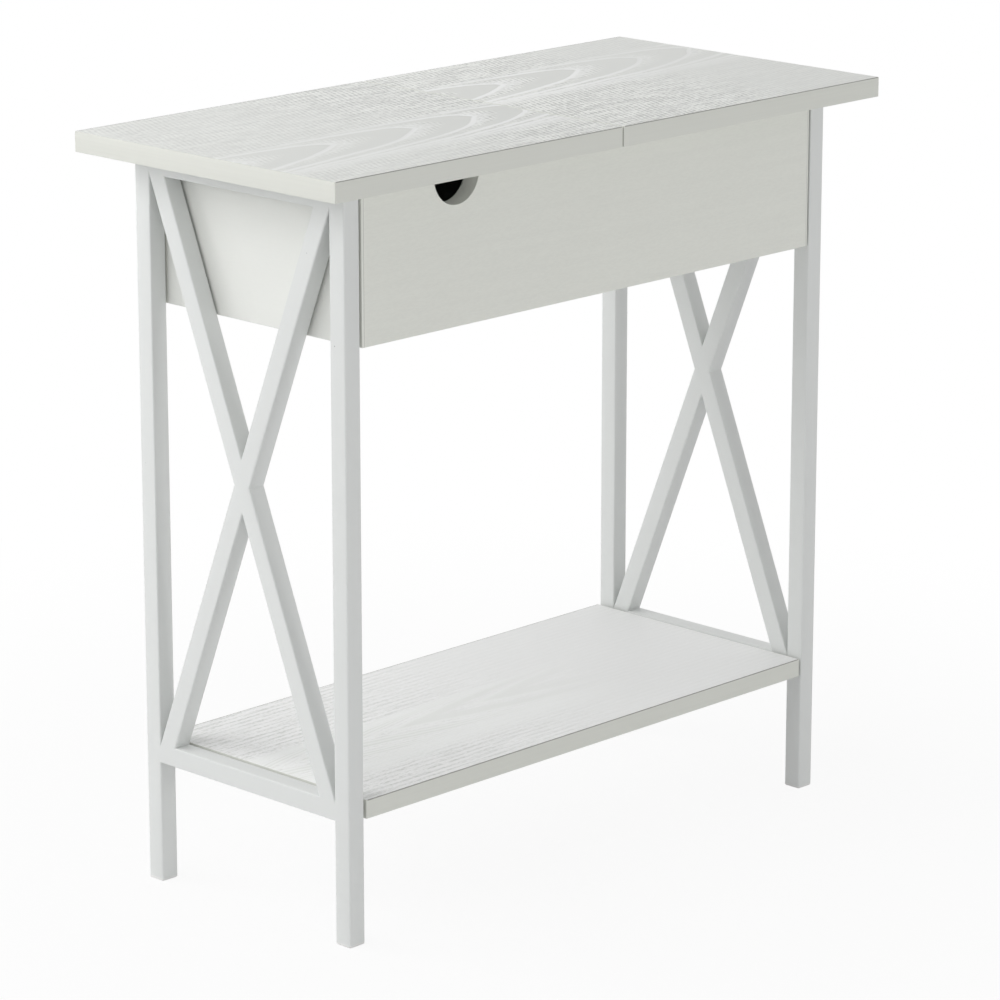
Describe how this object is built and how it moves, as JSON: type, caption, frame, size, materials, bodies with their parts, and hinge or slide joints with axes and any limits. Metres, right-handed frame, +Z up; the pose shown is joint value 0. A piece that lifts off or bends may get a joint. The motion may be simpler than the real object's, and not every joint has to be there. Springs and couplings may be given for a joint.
{
  "type": "lift top end table",
  "caption": "Narrow end table with a lift-up lid over a storage box, a fixed top beside it, X-braced square-tube end frames and a low shelf.",
  "frame": {"origin": "on the floor under the middle of the table", "axes": "+X along the length from the lid half to the fixed half, -Y the front with the finger notch, +Z up"},
  "size_m": [0.61, 0.286, 0.603],
  "materials": {
    "white_board": "white wood-grain foil on particle board, satin, with matching edge band",
    "floor_board": "white-faced hardboard, satin",
    "white_steel": "white powder coat, satin",
    "foot_plastic": "white moulded plastic",
    "hinge_steel": "zinc-plated steel",
    "zinc_steel": "zinc-plated steel",
    "cam_alloy": "die-cast, dull",
    "beech": "bare beech"
  },
  "bodies": {
    "table": {"box_floor": "floor_board", "box_hinge_screws": "zinc_steel", "cam_bolts": "zinc_steel", "cam_locks": "cam_alloy", "dowels": "beech", "fixed_top": "white_board", "frame_bolts": "zinc_steel", "frame_inserts": "zinc_steel", "frame_washers": "zinc_steel", "front_panel": "white_board", "left_brace_long": "white_steel", "left_brace_lower": "white_steel", "left_brace_upper": "white_steel", "left_end_panel": "white_board", "left_front_foot": "foot_plastic", "left_front_leg": "white_steel", "left_hinge_box_leaf": "hinge_steel", "left_hinge_pin": "hinge_steel", "left_lower_rail": "white_steel", "left_rear_foot": "foot_plastic", "left_rear_leg": "white_steel", "left_shelf_brackets": "white_steel", "left_top_rail": "white_steel", "rear_panel": "white_board", "right_brace_long": "white_steel", "right_brace_lower": "white_steel", "right_brace_upper": "white_steel", "right_end_panel": "white_board", "right_front_foot": "foot_plastic", "right_front_leg": "white_steel", "right_hinge_box_leaf": "hinge_steel", "right_hinge_pin": "hinge_steel", "right_lower_rail": "white_steel", "right_rear_foot": "foot_plastic", "right_rear_leg": "white_steel", "right_shelf_brackets": "white_steel", "right_top_rail": "white_steel", "shelf": "white_board", "shelf_screws": "zinc_steel"},
    "lid": {"lid": "white_board", "left_hinge_lid_leaf": "hinge_steel", "right_hinge_lid_leaf": "hinge_steel", "lid_hinge_screws": "zinc_steel"}
  },
  "joints": [
    {"name": "lid_hinge", "type": "hinge", "parent": "table", "child": "lid", "pos_m": [-0.1528, 0.1183, 0.5837], "axis": [-1, 0, 0], "range_deg": [0, 100]}
  ]
}
